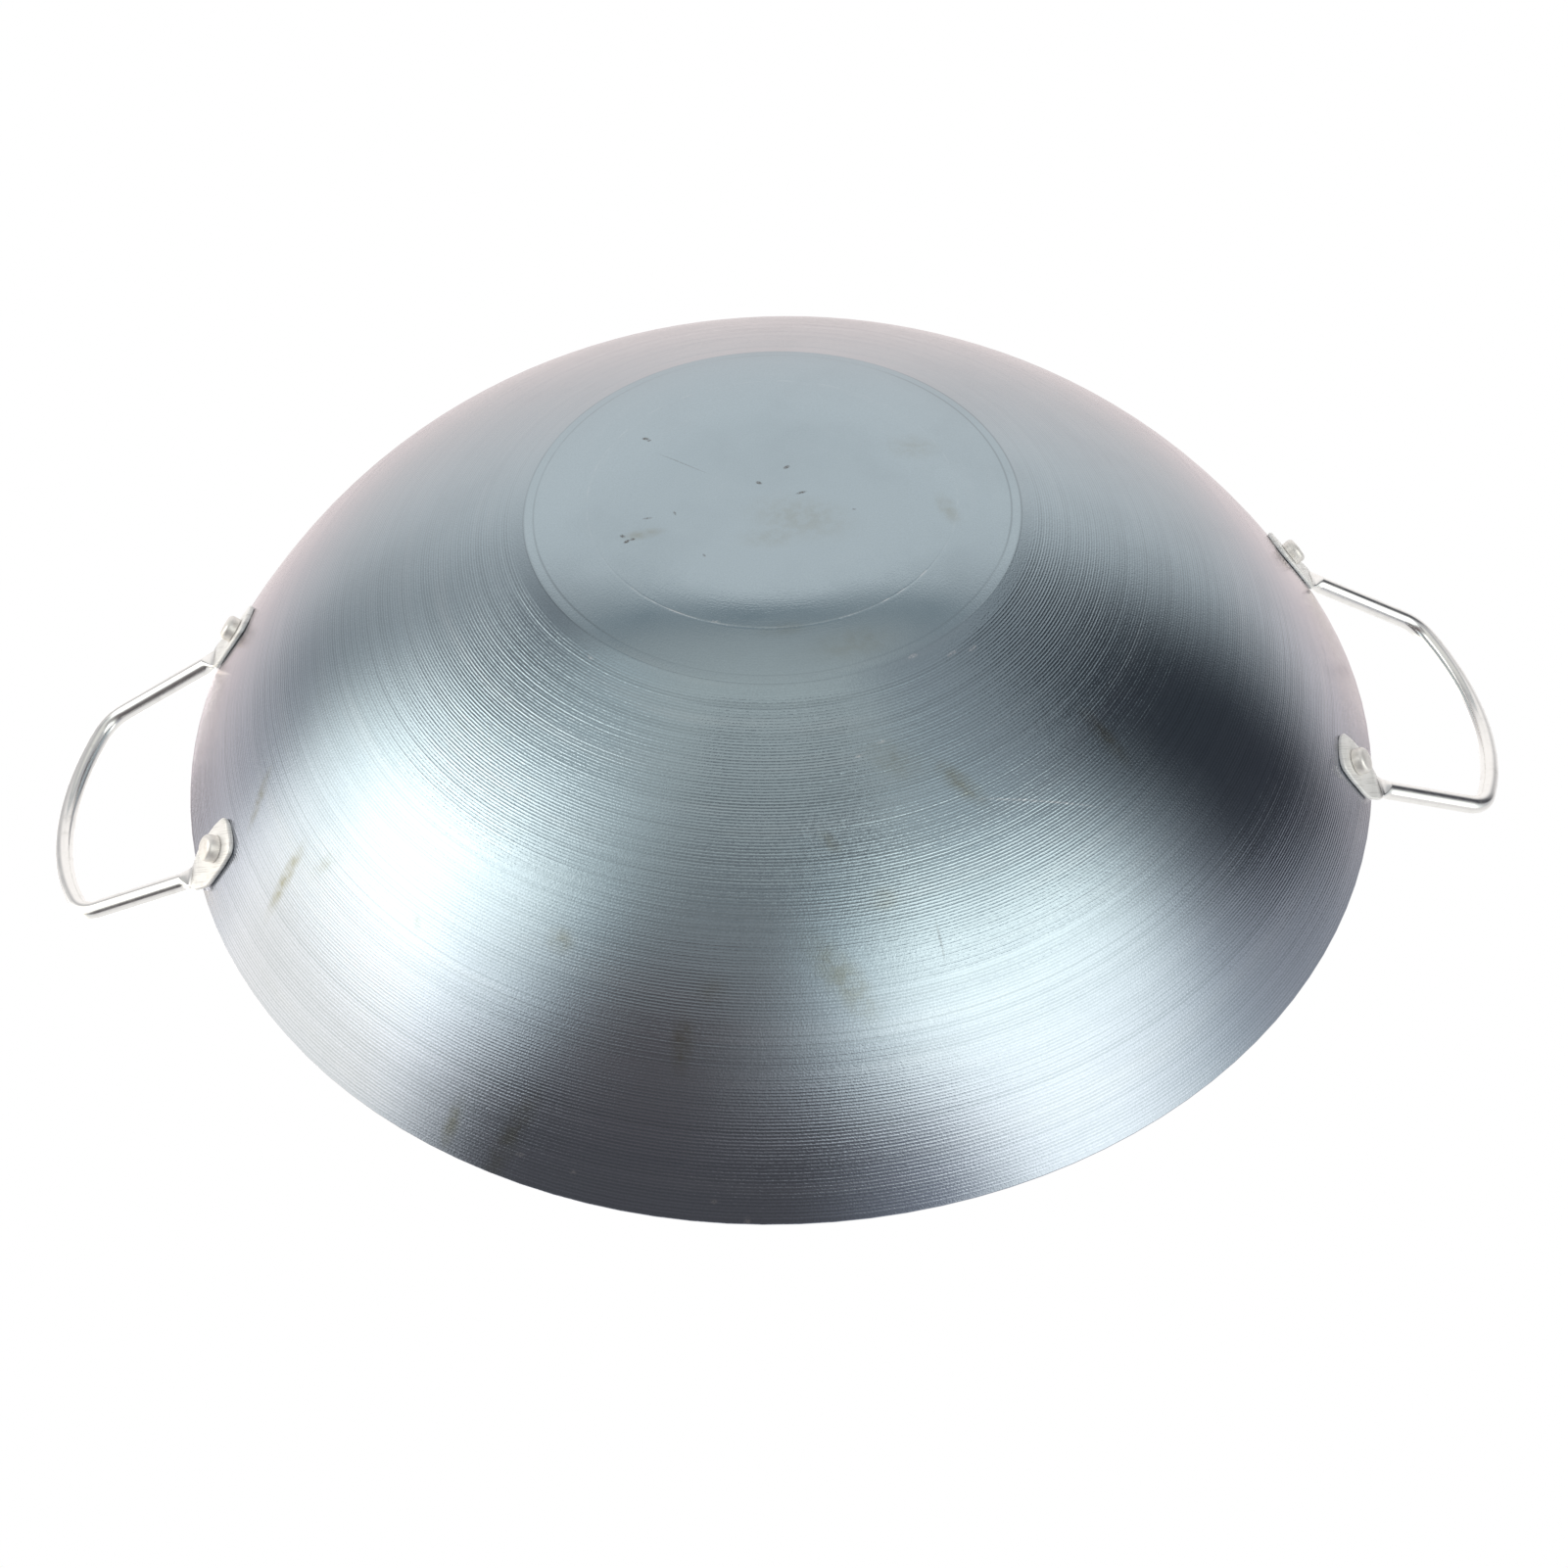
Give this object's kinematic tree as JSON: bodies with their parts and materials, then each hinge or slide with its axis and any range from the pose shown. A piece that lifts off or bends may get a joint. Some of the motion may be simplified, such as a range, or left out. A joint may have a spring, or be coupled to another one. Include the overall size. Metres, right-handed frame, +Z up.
{
  "type": "double-handled frying pan",
  "caption": "Open round pan spun from sheet steel, with a flat base, a flaring wall and wire loop handles riveted on opposite sides, for frying over a burner.",
  "frame": {"origin": "centre of the flat underside, on the surface that the pan stands on", "axes": "+Z up out of the pan's opening, +X towards the right handle, -Y is the front"},
  "size_m": [0.4522, 0.36, 0.1192],
  "materials": {
    "blued_steel": "blue-grey spun sheet with fine turning grooves",
    "bright_plate": "bright plated wire",
    "rivet_steel": "dull plated"
  },
  "bodies": {
    "root": {"pan_body": "blued_steel", "right_handle": "bright_plate", "left_handle": "bright_plate", "right_front_rivet": "rivet_steel", "right_rear_rivet": "rivet_steel", "left_front_rivet": "rivet_steel", "left_rear_rivet": "rivet_steel"}
  },
  "joints": []
}
